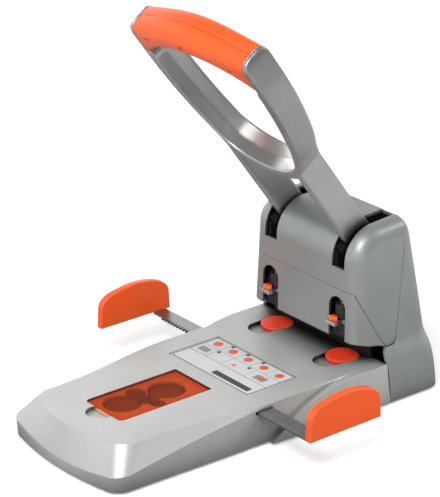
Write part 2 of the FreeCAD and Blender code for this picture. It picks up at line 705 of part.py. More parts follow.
# ---------------------------------------------------------------- frame inside the head
def make_frame(boss_plans):
    inner, outer = "plate_inner", "plate_inner + plate_thick"
    outline = [(108, "rim_z + base_plate_thick"), (137, "rim_z + base_plate_thick"), (137, 112),
               (126, 134), (102, 134), (92, 120), (92, 72), (87.4, 67), (87.4, "bridge_low"),
               (108, "bridge_low")]
    holes = [(("pivot_y", "pivot_z"), "shaft_radius + 2.55")]
    for plan in boss_plans.values():
        holes += [((y, z), 1.8) for y, z in plan]
    for name, x0, x1, f0, f1 in (("left", "-plate_inner - plate_thick", "-plate_inner", -67, -54),
                                 ("right", inner, outer, 54, 67)):
        plate = new_body("side_" + name)
        pad(plate, "YZ", x0, x1, [outline])
        pad(plate, "XY", "rim_z + base_plate_thick", "rim_z + base_plate_thick + 4",
            [rectangle(f0, f1, 109, 136)])
        pocket(plate, "YZ", x0, x1, circles=holes)
        bolt_x = math.copysign(60, f0)
        pocket(plate, "XY", "rim_z + base_plate_thick", "rim_z + base_plate_thick + 4",
               circles=[((bolt_x, y), 2.55) for y in (116, 130)])
        keep(plate, "frame_plate_" + name)
    bolts = []
    for x in (-60, 60):
        for y in (116, 130):
            head = cylinder("bolt_head", 4.2, 1.6, (x, y, "rim_z - 1.6"))
            shank = cylinder("bolt_shank", 2.5, 10, (x, y, "rim_z - 0.3"))
            bolts.append(fuse("bolt", [head, shank]))
    keep(group("bolts", bolts), "frame_bolts")

    bridge = new_body("bridge")
    pad(bridge, "XY", "bridge_low", "bridge_high",
        [rectangle("-plate_inner", "plate_inner", "face_y + wall + 0.3", 119)])
    pocket(bridge, "XY", "bridge_low", "bridge_high",
           circles=[((x, "punch_y"), "punch_radius + 0.3") for x in (-40, 40)])
    keep(bridge, "frame_bridge")

    anvil = new_body("anvil")
    pad(anvil, "XY", "deck_top - 12", "deck_top - 8", [rectangle(-49.9, 49.9, 72, 136)])
    keep(anvil, "anvil_plate")
    stop = box("stop", "-stop_half", "stop_half", 103, 106.8,
               "deck_top + 0.2", "deck_top + throat_height - 0.6")
    keep(stop, "paper_stop")

    shaft = cylinder("shaft_rod", "shaft_radius", 112, (-56, "pivot_y", "pivot_z"), "x")
    keep(shaft, "pivot_shaft")
    for name, side in (("left", -1), ("right", 1)):
        sleeve = Part.makeCylinder(size("shaft_radius") + 2.5, 6, V(side * 48.2, 0, 0), V(side, 0, 0))
        flange = Part.makeCylinder(size("shaft_radius") + 5, 1.6, V(side * 48.2, 0, 0), V(side, 0, 0))
        bore = Part.makeCylinder(size("shaft_radius") + 0.04, 8, V(side * 47, 0, 0), V(side, 0, 0))
        bush = feature("bush_" + name, sleeve.fuse(flange).cut(bore))
        bush.Placement.Base = V(0, size("pivot_y"), size("pivot_z"))
        keep(bush, "pivot_bush_" + name)
    clips = []
    for side in (-1, 1):
        ring = Part.makeCylinder(7.5, 1, V(side * 54.6, 0, 0), V(side, 0, 0))
        ring = ring.cut(Part.makeCylinder(size("shaft_radius"), 1, V(side * 54.6, 0, 0), V(side, 0, 0)))
        ring = ring.cut(Part.makeBox(3, 6, 10, V(min(side * 54, side * 57), -3, -10)))
        clips.append(ring)
    clip_pair = feature("clips", Part.makeCompound(clips))
    clip_pair.Placement.Base = V(0, size("pivot_y"), size("pivot_z"))
    keep(clip_pair, "shaft_clips")

    screws = []
    for plan in boss_plans.values():
        for y, z in plan:
            for side in (-1, 1):
                head = Part.makeCylinder(3, 1.8, V(side * 48.1, y, z), V(side, 0, 0))
                shank = Part.makeCylinder(1.3, 10, V(side * 49, y, z), V(side, 0, 0))
                screws.append(head.fuse(shank))
    keep(feature("cover_screw_set", Part.makeCompound(screws)), "cover_screws")


# ---------------------------------------------------------------- handle
def lever_outline():
    """Front view of the lever in its own plane: x across, z along the lever from the pivot."""
    leg, loop, thick = size("leg_outer"), size("loop_half"), size("leg_thick")
    right_outer = [(leg, 0, 103), (leg + 1.9, 0, 110), (50.5, 0, 123), (57.4, 0, 139), (63.2, 0, 160),
                   (67.2, 0, 184), (loop, 0, 210)]
    top = size("grip_mid") + 6
    side_top = size("grip_end") + 8
    outer = [Part.makeLine(V(leg, 0, 0), V(*right_outer[0])), spline(right_outer),
             Part.makeLine(V(loop, 0, 210), V(loop, 0, side_top)),
             arc((loop, 0, side_top), (loop - 1.4, 0, side_top + 3.4), (loop - 5, 0, side_top + 5)),
             arc((loop - 5, 0, side_top + 5), (0, 0, top), (5 - loop, 0, side_top + 5)),
             arc((5 - loop, 0, side_top + 5), (1.4 - loop, 0, side_top + 3.4), (-loop, 0, side_top)),
             Part.makeLine(V(-loop, 0, side_top), V(-loop, 0, 210)),
             spline([flip(p) for p in reversed(right_outer)]),
             Part.makeLine(V(-leg, 0, 103), V(-leg, 0, 0)),
             Part.makeLine(V(-leg, 0, 0), V(thick - leg, 0, 0)),
             Part.makeLine(V(thick - leg, 0, 0), V(thick - leg, 0, 93)),
             arc((thick - leg, 0, 93), (thick - leg + 0.8, 0, 95.2), (thick - leg + 3, 0, 95.4)),
             arc((thick - leg + 3, 0, 95.4), (0, 0, 89.7), (leg - thick - 3, 0, 95.4)),
             arc((leg - thick - 3, 0, 95.4), (leg - thick - 0.8, 0, 95.2), (leg - thick, 0, 93)),
             Part.makeLine(V(leg - thick, 0, 93), V(leg - thick, 0, 0)),
             Part.makeLine(V(leg - thick, 0, 0), V(leg, 0, 0))]
    inner_side = [(41.5, 0, 113.5), (50.5, 0, 138), (56.5, 0, 160), (60.5, 0, 184), (loop - 6, 0, 205)]
    bar_low = side_top - 8
    window = [arc((-41.5, 0, 113.5), (0, 0, 97.7), (41.5, 0, 113.5)), spline(inner_side),
              Part.makeLine(V(loop - 6, 0, 205), V(loop - 6, 0, bar_low)),
              arc((loop - 6, 0, bar_low), (0, 0, size("grip_mid") - 6), (6 - loop, 0, bar_low)),
              Part.makeLine(V(6 - loop, 0, bar_low), V(6 - loop, 0, 205)),
              spline([flip(p) for p in reversed(inner_side)])]
    return Part.Face(Part.Wire(outer)).cut(Part.Face(Part.Wire(window)))


def toe_centre():
    """Drive pin's place in the lever's own frame: (depth, length)."""
    angle = math.radians(size("handle_lean"))
    rise = math.radians(size("toe_rise"))
    y, z = -size("toe_arm") * math.cos(rise), size("toe_arm") * math.sin(rise)
    return (y * math.cos(angle) + z * math.sin(angle), z * math.cos(angle) - y * math.sin(angle))


def grip_loft(shrink, longer=0):
    """Crowned grip body along the top bar; shrink and longer make the core that fills it."""
    half = size("grip_length") / 2 + longer
    sections = []
    for share in (-1, -0.75, -0.4, 0, 0.4, 0.75, 1):
        fall = share ** 2
        centre = size("grip_mid") + (size("grip_end") - size("grip_mid")) * fall
        deep = size("grip_deep") - 2.1 * fall - shrink
        tall = size("grip_tall") + 2.7 * fall ** 2 - shrink
        ellipse = Part.Ellipse(V(0, 0, 0), max(deep, tall), min(deep, tall)).toShape()
        if deep < tall:
            ellipse.rotate(V(0, 0, 0), V(0, 0, 1), 90)
        ellipse.rotate(V(0, 0, 0), V(1, 0, 0), 90)
        ellipse.rotate(V(0, 0, 0), V(0, 0, 1), 90)
        ellipse.translate(V(share * half, 1.6, centre))
        wire = Part.Wire([ellipse])
        sections.append(wire)
    return Part.makeLoft(sections, True, False)


def lean(obj):
    """Stand a piece drawn in the lever's frame at the pivot, tilted towards the user."""
    obj.Placement = FreeCAD.Placement(V(0, size("pivot_y"), size("pivot_z")),
                                      FreeCAD.Rotation(V(1, 0, 0), size("handle_lean")))
    return obj


def make_handle():
    front, rear = size("lever_front"), size("lever_rear")
    strap = lever_outline().extrude(V(0, rear - front, 0))
    strap.translate(V(0, front, 0))
    hub, toe = size("hub_radius"), size("toe_radius")
    depth, height = toe_centre()
    core = grip_loft(size("grip_core"), 1)
    top_zone = Part.makeBox(size("grip_length") + 0.4, 60, 60, V(-size("grip_length") / 2 - 0.2, -30, 205))
    strap = strap.cut(top_zone.cut(core))
    cap = size("grip_end")
    strap = strap.common(slab([(front, -30), (front, cap, front + 3.9, cap + 9.9),
                               (1.6, cap + 13.6, 10.6, cap + 9.9), (rear + 1, cap), (rear + 1, -30)], 90))
    for side in (-1, 1):
        blade_inner, blade = side * 36, side * 7.6
        boss = Part.makeCylinder(hub, 12.4, V(side * 34.2, 0, 0), V(side, 0, 0))
        distance = math.hypot(depth, height)
        across = V(0, -height, depth) * (toe / distance)
        centre = V(blade_inner, depth, height)
        root = V(blade_inner, 0, 0)
        web = Part.Face(Part.makePolygon([root + across, centre + across, centre - across, root - across,
                                          root + across])).extrude(V(blade, 0, 0))
        ear = Part.makeCylinder(toe, 7.6, centre, V(side, 0, 0))
        strap = strap.fuse([boss, web, ear])
        bore_start, across_x = V(side * 30, 0, 0), V(side, 0, 0)
        strap = strap.cut(Part.makeCylinder(size("shaft_radius") + 0.05, 20, bore_start, across_x))
        bore_start = V(side * 30, depth, height)
        strap = strap.cut(Part.makeCylinder(size("drive_radius"), 20, bore_start, across_x))
    grip = grip_loft(0).cut(grip_loft(size("grip_core") - 0.1, 1))
    screws = []
    for x in (-size("grip_screw_x"), 0, size("grip_screw_x")):
        share = 2 * x / size("grip_length")
        level = size("grip_mid") + (size("grip_end") - size("grip_mid")) * share ** 2
        screw = Part.makeCylinder(1.5, 17, V(x, -9, level), V(0, 1, 0))
        screw = screw.fuse(Part.makeCylinder(2.6, 2, V(x, -11, level), V(0, 1, 0)))
        screws.append(screw)
        clearance = Part.makeCylinder(2.8, 12, V(x, -20, level), V(0, 1, 0))
        clearance = clearance.fuse(Part.makeCylinder(1.6, 18.5, V(x, -10, level), V(0, 1, 0)))
        grip = grip.cut(clearance)
        strap = strap.cut(clearance)
    keep(lean(feature("lever", strap)), "handle_lever")
    split = Part.makeBox(200, 40, 100, V(-100, 1.6 - 40, 180))
    keep(lean(feature("grip_front", grip.common(split))), "grip_front_shell")
    keep(lean(feature("grip_rear", grip.cut(split))), "grip_rear_shell")
    keep(lean(feature("grip_screw_set", Part.makeCompound(screws))), "grip_screws")
    for name, side in (("left", -1), ("right", 1)):
        pin = Part.makeCylinder(size("drive_radius"), 12.4, V(side * 33.8, depth, height), V(side, 0, 0))
        keep(lean(feature("drive_" + name, pin)), "drive_pin_" + name)


# ---------------------------------------------------------------- punches
def spring_coil(radius, wire, low, high, turns):
    """Round-wire compression spring with its axis on the z axis."""
    helix = Part.makeHelix((high - low - 2 * wire) / turns, high - low - 2 * wire, radius)
    profile = Part.Wire([Part.Circle(V(radius, 0, 0), V(0, 1, 0), wire).toShape()])
    return Part.Wire(helix.Edges).makePipeShell([profile], True, True)


def make_punches():
    drive_z = number("pivot_z") + size("toe_arm") * math.sin(math.radians(size("toe_rise")))
    for name, sign in (("left", "-"), ("right", "")):
        x = sign + "hole_pitch / 2"
        left, right = x + " - 6.6", x + " + 6.6"
        carrier = new_body("carrier_" + name)
        front, rear = "punch_y - 4.2", "punch_y + 9"
        pad(carrier, "XY", "carrier_low", "carrier_high", [rectangle(left, right, front, "spring_y + 6.4")])
        ear = [(front, "carrier_high - 1"), (rear, "carrier_high - 1"), (rear, "ear_top"),
               ("punch_y", "ear_top"), (front, "ear_top - 3.5")]
        for x0, x1 in ((left, x + " - 4.4"), (x + " + 4.4", right)):
            pad(carrier, "YZ", x0, x1, [ear])
        play = size("drive_radius") + 0.65
        pocket(carrier, "YZ", left + " - 1", right + " + 1",
               [rectangle("punch_y - 6", "punch_y + 7.4", drive_z - play, drive_z + play)])
        pad(carrier, "XY", 80, "carrier_low + 1", circles=[((x, "punch_y"), "rod_radius")])
        pocket(carrier, "XY", 80, "carrier_high", circles=[((x, "punch_y"), "punch_radius + 0.03")])
        keep(carrier, "punch_carrier_" + name)

        punch = new_body("punch_" + name)
        pad(punch, "XY", "punch_tip", "carrier_high + 2", circles=[((x, "punch_y"), "punch_radius")])
        pocket(punch, "XY", "punch_tip", "carrier_high + 2", circles=[((x, "punch_y"), "punch_bore")])
        keep(punch, "punch_" + name)

        block = new_body("guide_block_" + name)
        pad(block, "XY", "bridge_high", "tab_high + 1.3",
            [rectangle(x + " - 7.9", x + " + 7.9", "punch_y - 4.3", "punch_y + 9")])
        pad(block, "XY", "tab_high + 1", 78, circles=[((x, "punch_y"), 6.2)])
        pocket(block, "XY", "bridge_high", 78, circles=[((x, "punch_y"), "rod_radius + 0.1")])
        pocket(block, "XY", "tab_low - 0.1", "tab_high + 0.2",
               [rectangle(x + " - 7.7", x + " + 7.7", "punch_y - 7", "punch_y + 6.7")])
        for rib in range(4):
            low = "bridge_high + %.1f" % (1.5 + 1.7 * rib)
            pocket(block, "XY", low, low + " + 0.8",
                   [rectangle(x + " - 9", x + " + 9", "punch_y - 5", "punch_y - 3.9")])
        keep(block, "punch_guide_" + name)

        tab = new_body("tab_" + name)
        neck, wide = "punch_y - 4.8", "punch_y + 6.5"
        pad(tab, "XY", "tab_low", "tab_high",
            [[(x + " - 5.4", "tab_tip"), (x + " + 5.4", "tab_tip"), (x + " + 5.4", neck),
              (x + " + 7.5", neck), (x + " + 7.5", wide), (x + " - 7.5", wide),
              (x + " - 7.5", neck), (x + " - 5.4", neck)]])
        pocket(tab, "XY", "tab_low", "tab_high",
               [rectangle(x + " - 4.5", x + " + 4.5", "punch_y - 4.7", "punch_y + 7")])
        hub = (x + " - 3", "toggle_y")
        pocket(tab, "XY", "tab_low", "tab_high", circles=[(hub, 1.65)])
        round_edges(tab, 0.8, lambda e: e.CenterOfMass.y < number("tab_tip + 0.5"))
        keep(tab, "release_tab_" + name)

        toggle = new_body("toggle_" + name)
        plan = ((-4.8, -2.1), (-1.6, -3.8), (2, -2.7), (3.6, -0.1), (1.4, 2.3), (-3.6, 1.9))
        pad(toggle, "XY", "tab_high + 0.15", "toggle_top",
            [[("%s + %g" % (x, dx), "toggle_y + %g" % dy) for dx, dy in plan]])
        pad(toggle, "XY", "tab_low + 0.4", "tab_high + 0.5", circles=[(hub, 1.6)])
        round_edges(toggle, 0.7, lambda e: e.CenterOfMass.z > number("tab_high + 0.9"))
        keep(toggle, "release_toggle_" + name)

        coil = spring_coil(size("spring_radius"), size("spring_wire"), number("bridge_high") + 0.05,
                           number("carrier_low") - 0.05, 7)
        spring = feature("coil_" + name, coil)
        seat = number("bridge_high") + 0.05 + size("spring_wire")
        spring.Placement.Base = V(number(x), size("spring_y"), seat)
        keep(spring, "return_spring_" + name)


make_base()
make_base_floor()
make_deck_furniture()
make_guides()
plans = make_head()
make_rear_cover()
make_frame(plans)
make_handle()
make_punches()


# ---------------------------------------------------------------- checks and files
doc.recompute()
for obj in doc.Objects:
    if "Invalid" in obj.State or "Error" in obj.State:
        raise RuntimeError("failed: %s %s" % (obj.Name, obj.State))
os.makedirs("parts", exist_ok=True)
for obj in nodes:
    if obj.Shape.isNull() or not obj.Shape.isValid():
        raise RuntimeError("bad shape: " + obj.Label)
    obj.Shape.exportStep("parts/%s.step" % obj.Label)
print(len(nodes), "nodes")
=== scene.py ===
import math

import bmesh
import bpy
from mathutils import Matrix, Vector


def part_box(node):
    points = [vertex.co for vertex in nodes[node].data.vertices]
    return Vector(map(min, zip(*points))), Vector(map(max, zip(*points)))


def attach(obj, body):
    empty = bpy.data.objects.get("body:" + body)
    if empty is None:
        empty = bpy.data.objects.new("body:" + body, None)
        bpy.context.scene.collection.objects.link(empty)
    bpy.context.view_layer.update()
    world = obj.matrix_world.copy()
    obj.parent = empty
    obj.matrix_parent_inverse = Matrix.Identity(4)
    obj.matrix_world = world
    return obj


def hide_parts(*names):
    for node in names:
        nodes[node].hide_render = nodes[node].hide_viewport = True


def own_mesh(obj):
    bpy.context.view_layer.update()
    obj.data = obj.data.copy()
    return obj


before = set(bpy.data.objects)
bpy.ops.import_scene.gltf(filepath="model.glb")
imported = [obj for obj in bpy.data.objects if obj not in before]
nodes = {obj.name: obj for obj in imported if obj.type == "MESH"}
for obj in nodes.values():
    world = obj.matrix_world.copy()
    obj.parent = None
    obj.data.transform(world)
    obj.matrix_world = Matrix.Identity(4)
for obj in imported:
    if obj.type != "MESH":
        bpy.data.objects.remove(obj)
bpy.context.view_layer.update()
MM = 0.001


# ---------------------------------------------------------------- material helpers
def new_material(name):
    """Empty node material with its principled shader."""
    material = bpy.data.materials.new(name)
    material.use_nodes = True
    tree = material.node_tree
    return material, tree, tree.nodes["Principled BSDF"]


def add(tree, kind, **inputs):
    """Shader node with some inputs set; the keys are input names with _ for spaces."""
    node = tree.nodes.new(kind)
    for key, value in inputs.items():
        node.inputs[key.replace("_", " ")].default_value = value
    return node


def place_texture(tree, scale=(1, 1, 1)):
    """Object coordinates in metres, stretched per axis."""
    coords = tree.nodes.new("ShaderNodeTexCoord")
    mapping = add(tree, "ShaderNodeMapping", Scale=scale)
    tree.links.new(coords.outputs["Object"], mapping.inputs["Vector"])
    return mapping.outputs["Vector"]


def noise(tree, where, scale, detail=3.0):
    node = add(tree, "ShaderNodeTexNoise", Scale=scale, Detail=detail, Roughness=0.55)
    tree.links.new(where, node.inputs["Vector"])
    return node.outputs["Fac"]


def vector_math(tree, operation, source, second=None):
    """Vector step on a socket; second is a constant."""
    node = tree.nodes.new("ShaderNodeVectorMath")
    node.operation = operation
    tree.links.new(source, node.inputs[0])
    if second is not None:
        node.inputs[1].default_value = second
    return node


def grey(value):
    return (value, value, value)


def ramp(tree, factor, low, high, start=0.3, end=0.7):
    """Colour ramp between two colours."""
    node = tree.nodes.new("ShaderNodeValToRGB")
    node.color_ramp.elements[0].position = start
    node.color_ramp.elements[1].position = end
    for element, value in zip(node.color_ramp.elements, (low, high)):
        element.color = tuple(value) + (1,)
    tree.links.new(factor, node.inputs["Fac"])
    return node.outputs["Color"]


def scaled(colour, share):
    """Colour made lighter or darker, no channel over one."""
    return [min(1.0, c * share) for c in colour]


def mix_colour(tree, factor, first, second):
    """Blend of two colours; first is a socket, second a colour, factor a socket."""
    mix = tree.nodes.new("ShaderNodeMix")
    mix.data_type = "RGBA"
    mix.inputs["B"].default_value = tuple(second) + (1,)
    tree.links.new(factor, mix.inputs["Factor"])
    tree.links.new(first, mix.inputs["A"])
    return mix.outputs["Result"]


def bump(tree, height, strength, distance, base=None):
    node = add(tree, "ShaderNodeBump", Strength=strength, Distance=distance)
    tree.links.new(height, node.inputs["Height"])
    if base is not None:
        tree.links.new(base, node.inputs["Normal"])
    return node.outputs["Normal"]


def soft_edges(tree, radius):
    """Shading normal that rounds sharp edges by a small radius."""
    node = tree.nodes.new("ShaderNodeBevel")
    node.samples = 6
    node.inputs["Radius"].default_value = radius
    return node.outputs["Normal"]


def painted_edge_highlights(tree, colour, edge_highlight, amount, rounded):
    """Mixes a lighter colour in where the rounded normal leaves the face's own, that is along edges: a
    painted highlight.
    """
    geometry = tree.nodes.new("ShaderNodeNewGeometry")
    turn = vector_math(tree, "DOT_PRODUCT", rounded)
    tree.links.new(geometry.outputs["Normal"], turn.inputs[1])
    edges = ramp(tree, turn.outputs["Value"], grey(amount), grey(0.0), 0.93, 0.995)
    return mix_colour(tree, edges, colour, edge_highlight)


def painted_nook_shade(tree, colour, distance):
    """Painted shade: darkens a colour where other surfaces close it in."""
    around = add(tree, "ShaderNodeAmbientOcclusion", Distance=distance)
    around.samples = 8
    shade = ramp(tree, around.outputs["AO"], grey(0.01), grey(1.0), 0.28, 0.80)
    mix = tree.nodes.new("ShaderNodeMix")
    mix.data_type = "RGBA"
    mix.blend_type = "MULTIPLY"
    mix.inputs["Factor"].default_value = 1.0
    tree.links.new(colour, mix.inputs["A"])
    tree.links.new(shade, mix.inputs["B"])
    return mix.outputs["Result"]


def sunk(tree, where, colour, top, depth):
    """Turns a colour dark brown from a level downwards, for pockets that little light reaches."""
    split = tree.nodes.new("ShaderNodeSeparateXYZ")
    tree.links.new(where, split.inputs["Vector"])
    level = tree.nodes.new("ShaderNodeMapRange")
    level.inputs["From Min"].default_value = top
    level.inputs["From Max"].default_value = top - depth
    tree.links.new(split.outputs["Z"], level.inputs["Value"])
    return mix_colour(tree, level.outputs["Result"], colour, (0.10, 0.05, 0.03))


def moulded(name, colour, rough=0.42, vary=0.05, grain=0.10, coat=0.0, metallic=0.0, edge_highlight=None,
            subsurface=0.0, edge=0.0004, flecks=0.0, closed=0.0, patches=0.0, deep=None, shine=0.5):
    """Moulded or painted plastic: fine spark-eroded grain, slow shade drift and a painted highlight along
    the edges.

    vary is the drift of shade, patches the strength of large dark spots of painted reflection, flecks the
    strength of tiny light spots, edge the radius of the edges in metres, closed the reach in metres of the
    painted shade in nooks, and deep the (level, depth) of pockets that get painted shade.
    """
    material, tree, shader = new_material(name)
    where = place_texture(tree)
    tint = ramp(tree, noise(tree, where, 28, 2), scaled(colour, 1 - vary), scaled(colour, 1 + vary))
    # Large dark patches: painted reflection, in place of the mottled reflections on the cast arms.
    if patches:
        spots = ramp(tree, noise(tree, where, 9, 1), grey(0.0), grey(patches), 0.35, 0.65)
        tint = mix_colour(tree, spots, tint, scaled(colour, 0.6))
    if flecks:
        spots = ramp(tree, noise(tree, where, 2600, 1), grey(0.0), grey(flecks), 0.55, 0.62)
        tint = mix_colour(tree, spots, tint, scaled(colour, 1.7))
    # The lighter colour mixed in along the edges is a painted highlight.
    edge_highlight = edge_highlight or [min(1.0, c * 1.25 + 0.02) for c in colour]
    rounded = soft_edges(tree, edge)
    tint = painted_edge_highlights(tree, tint, edge_highlight, 0.5, rounded)
    # Painted shade: pocket floors turn dark brown below a level.
    if deep:
        tint = sunk(tree, where, tint, *deep)
    # Painted shade in nooks, from how closely other surfaces surround each point.
    if closed:
        tint = painted_nook_shade(tree, tint, closed)
    tree.links.new(tint, shader.inputs["Base Color"])
    rough_map = ramp(tree, noise(tree, where, 160, 4), grey(rough * 0.9), grey(rough * 1.12))
    tree.links.new(rough_map, shader.inputs["Roughness"])
    fine = bump(tree, noise(tree, where, 1400, 2), grain, 0.0002, rounded)
    tree.links.new(bump(tree, noise(tree, where, 45, 1), 0.04, 0.0006, fine), shader.inputs["Normal"])
    shader.inputs["Metallic"].default_value = metallic
    shader.inputs["Specular IOR Level"].default_value = shine
    shader.inputs["Coat Weight"].default_value = coat
    shader.inputs["Coat Roughness"].default_value = 0.2
    if subsurface:
        shader.inputs["Subsurface Weight"].default_value = subsurface
        shader.inputs["Subsurface Radius"].default_value = (0.004, 0.0015, 0.0008)
    return material


def brushed(name, colour, rough, stretch, depth=0.12):
    """Steel with fine lines along one axis and slight stains."""
    material, tree, shader = new_material(name)
    lines = noise(tree, place_texture(tree, stretch), 900, 3)
    stains = noise(tree, place_texture(tree), 60, 4)
    tree.links.new(ramp(tree, stains, scaled(colour, 0.82), colour), shader.inputs["Base Color"])
    tree.links.new(ramp(tree, lines, grey(rough - 0.08), grey(rough + 0.12)), shader.inputs["Roughness"])
    tree.links.new(bump(tree, lines, depth, 0.0002, soft_edges(tree, 0.0003)), shader.inputs["Normal"])
    shader.inputs["Metallic"].default_value = 1.0
    return material


def clear_plastic(name, tint, body, share):
    """Tinted clear moulding: what lies beneath shows through a share of its surface."""
    material, tree, shader = new_material(name)
    where = place_texture(tree)
    rough_map = ramp(tree, noise(tree, where, 70, 3), grey(0.08), grey(0.18))
    tree.links.new(rough_map, shader.inputs["Roughness"])
    tree.links.new(bump(tree, noise(tree, where, 260, 2), 0.05, 0.0002), shader.inputs["Normal"])
    colour = ramp(tree, noise(tree, where, 25, 2), scaled(body, 0.9), body)
    tree.links.new(colour, shader.inputs["Base Color"])
    shader.inputs["Coat Weight"].default_value = 0.2
    clear = add(tree, "ShaderNodeBsdfTransparent", Color=tuple(tint) + (1,))
    mix = add(tree, "ShaderNodeMixShader", Fac=share)
    output = tree.nodes["Material Output"]
    tree.links.new(shader.outputs["BSDF"], mix.inputs[1])
    tree.links.new(clear.outputs["BSDF"], mix.inputs[2])
    tree.links.new(mix.outputs["Shader"], output.inputs["Surface"])
    return material


# closed sets the reach of the painted shade in nooks on these materials.
SHELL = moulded("shell_grey", (0.318, 0.338, 0.336), rough=0.40, metallic=0.55, coat=0.12, flecks=0.25,
                edge=0.0006, closed=0.025)
DECK = moulded("deck_grey", (0.54, 0.548, 0.535), rough=0.42, metallic=0.45, coat=0.12, flecks=0.2,
               edge=0.0008, closed=0.04)
# patches on the casting are painted reflection: dark mottling in place of the reflections on its arms.
CAST = moulded("cast_grey", (0.48, 0.485, 0.475), rough=0.33, metallic=0.85, grain=0.06, coat=0.1,
               edge=0.0005, closed=0.06, patches=0.65)
GRIP = moulded("grip_orange", (0.88, 0.108, 0.012), rough=0.44, vary=0.04, grain=0.10, subsurface=0.05)
# The orange guides and toggles get a broad painted highlight along their edges.
GLOSS = moulded("gloss_orange", (0.97, 0.108, 0.012), rough=0.30, vary=0.02, grain=0.015, coat=0.15,
                edge=0.0016, edge_highlight=(1.0, 0.30, 0.14))
DISC = moulded("disc_red", (0.90, 0.056, 0.020), rough=0.36, vary=0.06, grain=0.06, closed=0.004)
SPARE = moulded("spare_dark", (0.13, 0.07, 0.04), rough=0.5)
# The tray's pockets get painted shade below their rim.
TRAY = moulded("tray_grey", (0.62, 0.46, 0.40), rough=0.5, deep=(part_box("storage_tray")[1].z, 0.0035))
LID = clear_plastic("lid_clear", (0.99, 0.64, 0.44), (0.50, 0.07, 0.01), 0.86)
STEEL = brushed("rack_steel", (0.38, 0.41, 0.43), 0.32, (0.05, 1, 1))
DARK_STEEL = brushed("dark_steel", (0.06, 0.06, 0.065), 0.42, (0.05, 1, 1))
SHAFT = brushed("shaft_steel", (0.45, 0.46, 0.47), 0.28, (0.05, 1, 1))
PUNCH = brushed("punch_steel", (0.62, 0.63, 0.64), 0.25, (1, 1, 0.05))
ZINC = brushed("zinc_plate", (0.70, 0.70, 0.68), 0.30, (1, 0.1, 1), 0.08)
BRONZE = brushed("bush_bronze", (0.48, 0.32, 0.13), 0.4, (0.1, 1, 1))
BLACK = moulded("black_plastic", (0.014, 0.014, 0.016), rough=0.5, grain=0.2, edge_highlight=(0.04, 0.04, 0.04))
# Near-black toes with little shine: painted shade for the slot they sit in; the casting itself is grey.
TOE_SLOT_SHADE = moulded("toe_slot_shade", (0.007, 0.007, 0.008), rough=0.7, grain=0.2, edge_highlight=(0.02, 0.02, 0.02), shine=0.08)
# Black frame paint; on the paper stop it is painted shade for the throat under the head, as the stop itself
# is grey.
FRAME_PAINT_AND_THROAT_SHADE = moulded("frame_black_and_throat_shade", (0.012, 0.012, 0.014), rough=0.45, grain=0.15, edge_highlight=(0.03, 0.03, 0.03),
                      shine=0.25)
RUBBER = moulded("foot_rubber", (0.02, 0.02, 0.02), rough=0.8, grain=0.3, edge_highlight=(0.05, 0.05, 0.05))
PLATE = moulded("label_plate", (0.50, 0.51, 0.51), rough=0.36, grain=0.04, metallic=0.2)
INK = moulded("print_ink", (0.03, 0.032, 0.035), rough=0.5, grain=0.05, edge_highlight=(0.06, 0.06, 0.06))
PALE_INK = moulded("print_pale", (0.62, 0.63, 0.64), rough=0.45, grain=0.04)
GREY_INK = moulded("print_grey", (0.25, 0.26, 0.27), rough=0.45, grain=0.04)
ORANGE_INK = moulded("print_orange", (0.78, 0.09, 0.03), rough=0.45, grain=0.05)


def disc_rings():
    """Two round grooves on both cutting discs, which mirror each other, each with a painted highlight along
    it.
    """
    low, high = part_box("cutting_disc_right")
    tree = DISC.node_tree
    shader = tree.nodes["Principled BSDF"]
    folded = vector_math(tree, "ABSOLUTE", place_texture(tree))
    centred = vector_math(tree, "SUBTRACT", folded.outputs["Vector"], (low + high) / 2)
    flat = vector_math(tree, "MULTIPLY", centred.outputs["Vector"], (1, 1, 0))
    reach = vector_math(tree, "LENGTH", flat.outputs["Vector"])
    for share, width in ((0.82, 0.0007), (0.34, 0.0005)):
        apart = tree.nodes.new("ShaderNodeMath")
        apart.operation = "COMPARE"
        apart.inputs[1].default_value = share * (high.x - low.x) / 2
        apart.inputs[2].default_value = width / 2
        tree.links.new(reach.outputs["Value"], apart.inputs[0])
        # The lighter tone along each groove is a painted highlight; the groove itself is a bump.
        colour = shader.inputs["Base Color"].links[0].from_socket
        line = ramp(tree, apart.outputs["Value"], grey(0.0), grey(0.35), 0.0, 1.0)
        tree.links.new(mix_colour(tree, line, colour, (1.0, 0.20, 0.05)), shader.inputs["Base Color"])
        normal = shader.inputs["Normal"].links[0].from_socket
        groove = bump(tree, apart.outputs["Value"], 0.5, 0.0003, normal)
        tree.links.new(groove, shader.inputs["Normal"])


disc_rings()
FINISH = {
    SHELL: ["head_upper_cover", "head_lower_cover", "rear_cover"],
    DECK: ["base_housing"],
    CAST: ["handle_lever"],
    GRIP: ["grip_front_shell", "grip_rear_shell"],
    GLOSS: ["guide_plate_left", "guide_plate_right", "release_toggle_left", "release_toggle_right"],
    DISC: ["cutting_disc_left", "cutting_disc_right"],
    SPARE: ["spare_cutting_discs"],
    TRAY: ["storage_tray"],
    LID: ["storage_lid"],
    STEEL: ["guide_rack_left", "guide_rack_right", "anvil_plate"],
    SHAFT: ["pivot_shaft", "shaft_clips"],
    DARK_STEEL: ["drive_pin_left", "drive_pin_right", "frame_bolts"],
    PUNCH: ["punch_left", "punch_right", "return_spring_left", "return_spring_right"],
    ZINC: ["release_tab_left", "release_tab_right", "base_screws", "cover_screws", "grip_screws",
           "pinion_axle"],
    BRONZE: ["pivot_bush_left", "pivot_bush_right"],
    BLACK: ["punch_guide_left", "punch_guide_right", "guide_pinion", "rack_retainer"],
    # The paper stop's black is painted shade; the stop itself is grey.
    FRAME_PAINT_AND_THROAT_SHADE: ["paper_stop", "frame_plate_left", "frame_plate_right", "frame_bridge", "base_plate",
                  "punch_carrier_left", "punch_carrier_right"],
    RUBBER: ["rubber_feet"],
    PLATE: ["label_plate"],
}
